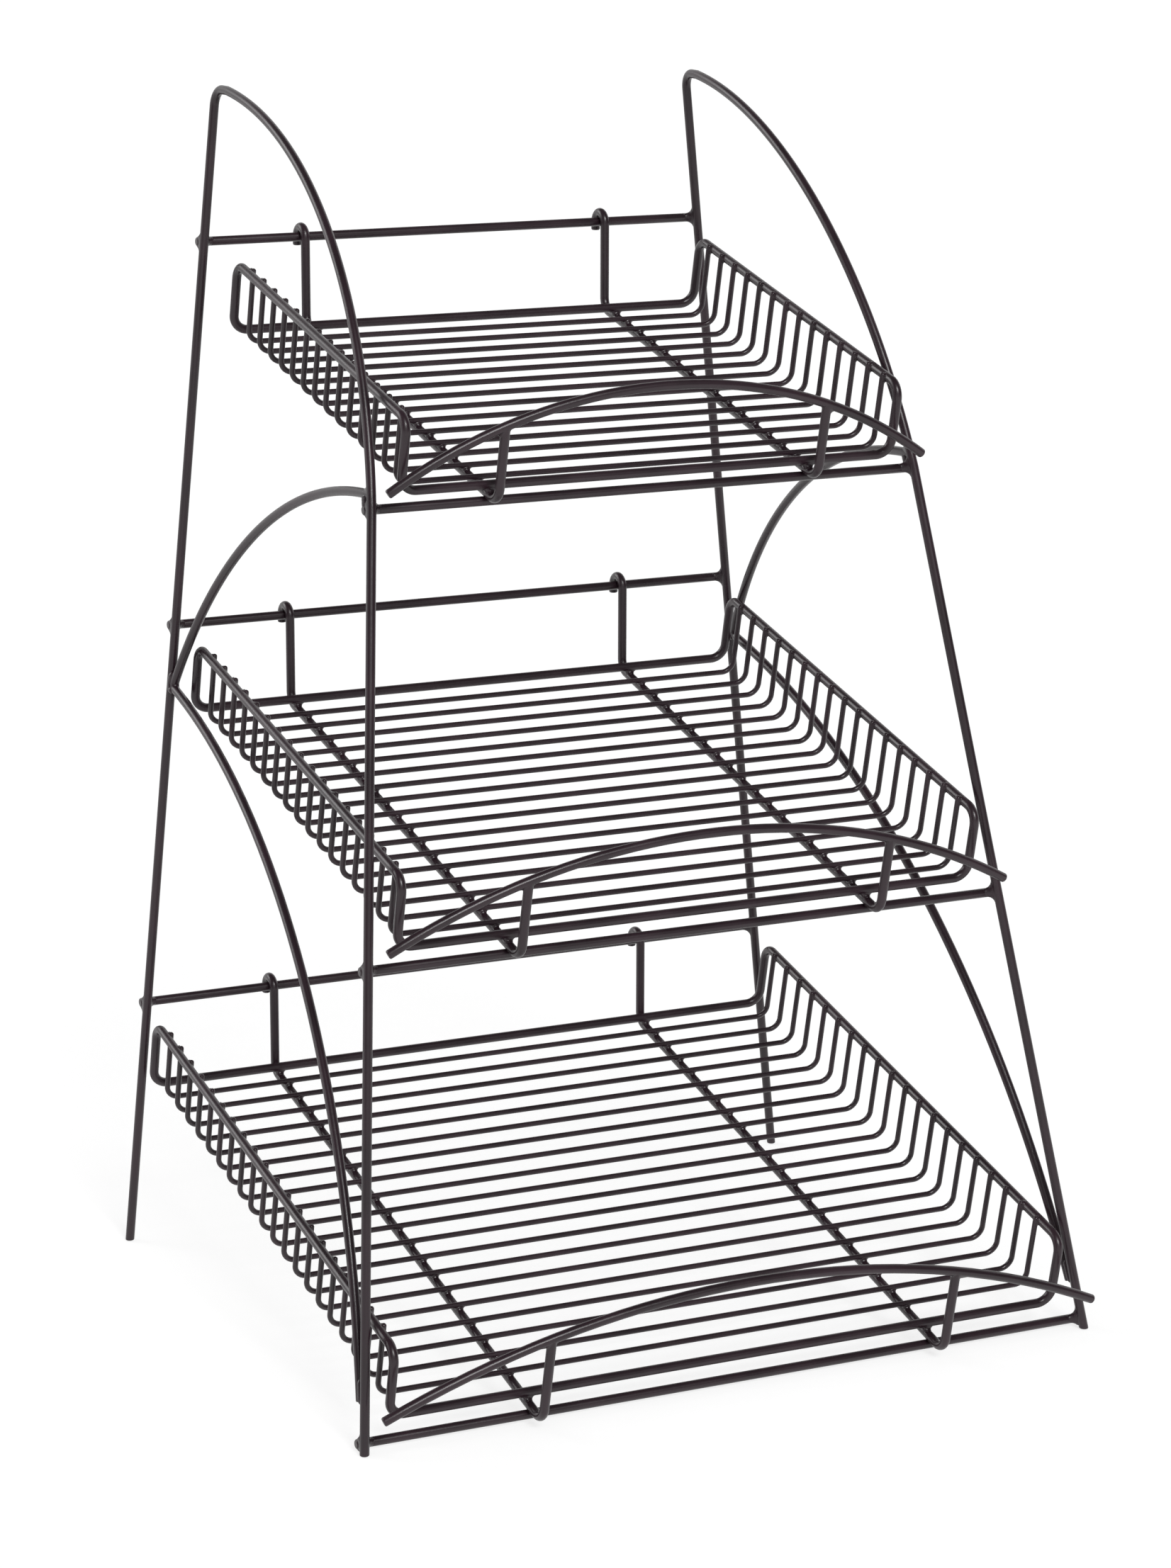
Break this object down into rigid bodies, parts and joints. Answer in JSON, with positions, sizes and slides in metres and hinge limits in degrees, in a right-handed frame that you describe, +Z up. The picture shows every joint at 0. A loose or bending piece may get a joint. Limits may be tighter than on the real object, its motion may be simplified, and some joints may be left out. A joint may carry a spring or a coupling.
{
  "type": "countertop display rack",
  "caption": "Black wire counter rack: curved side frames joined by crossbars carry stepped, sloping wire trays that hook on and lift off.",
  "frame": {"origin": "on the floor plane, half way between the left and right feet and half way between the foremost tray bow and the backs of the hooks", "axes": "+Z up, -Y towards the shopper in front, +X to that viewer's right"},
  "size_m": [0.4248, 0.394, 0.6503],
  "materials": {
    "side_rod_left": "satin black powder coat",
    "side_rod_right": "satin black powder coat",
    "brace_rod_left": "satin black powder coat",
    "brace_rod_right": "satin black powder coat",
    "front_crossbar_top": "satin black powder coat",
    "rear_crossbar_top": "satin black powder coat",
    "front_crossbar_middle": "satin black powder coat",
    "rear_crossbar_middle": "satin black powder coat",
    "front_crossbar_bottom": "satin black powder coat",
    "rear_crossbar_bottom": "satin black powder coat",
    "tray_top_basket": "satin black powder coat",
    "tray_top_runner_left": "satin black powder coat",
    "tray_top_runner_right": "satin black powder coat",
    "tray_top_bow": "satin black powder coat",
    "tray_middle_basket": "satin black powder coat",
    "tray_middle_runner_left": "satin black powder coat",
    "tray_middle_runner_right": "satin black powder coat",
    "tray_middle_bow": "satin black powder coat",
    "tray_bottom_basket": "satin black powder coat",
    "tray_bottom_runner_left": "satin black powder coat",
    "tray_bottom_runner_right": "satin black powder coat",
    "tray_bottom_bow": "satin black powder coat"
  },
  "bodies": {
    "rack": {"side_rod_left": "side_rod_left", "side_rod_right": "side_rod_right", "brace_rod_left": "brace_rod_left", "brace_rod_right": "brace_rod_right", "front_crossbar_top": "front_crossbar_top", "rear_crossbar_top": "rear_crossbar_top", "front_crossbar_middle": "front_crossbar_middle", "rear_crossbar_middle": "rear_crossbar_middle", "front_crossbar_bottom": "front_crossbar_bottom", "rear_crossbar_bottom": "rear_crossbar_bottom"},
    "tray_top": {"tray_top_basket": "tray_top_basket", "tray_top_runner_left": "tray_top_runner_left", "tray_top_runner_right": "tray_top_runner_right", "tray_top_bow": "tray_top_bow"},
    "tray_middle": {"tray_middle_basket": "tray_middle_basket", "tray_middle_runner_left": "tray_middle_runner_left", "tray_middle_runner_right": "tray_middle_runner_right", "tray_middle_bow": "tray_middle_bow"},
    "tray_bottom": {"tray_bottom_basket": "tray_bottom_basket", "tray_bottom_runner_left": "tray_bottom_runner_left", "tray_bottom_runner_right": "tray_bottom_runner_right", "tray_bottom_bow": "tray_bottom_bow"}
  },
  "joints": [
    {"name": "tray_top_lift", "type": "slide", "parent": "rack", "child": "tray_top", "axis": [0, 0, 1], "range_m": [0, 0.012]},
    {"name": "tray_middle_lift", "type": "slide", "parent": "rack", "child": "tray_middle", "axis": [0, 0, 1], "range_m": [0, 0.012]},
    {"name": "tray_bottom_lift", "type": "slide", "parent": "rack", "child": "tray_bottom", "axis": [0, 0, 1], "range_m": [0, 0.012]}
  ]
}
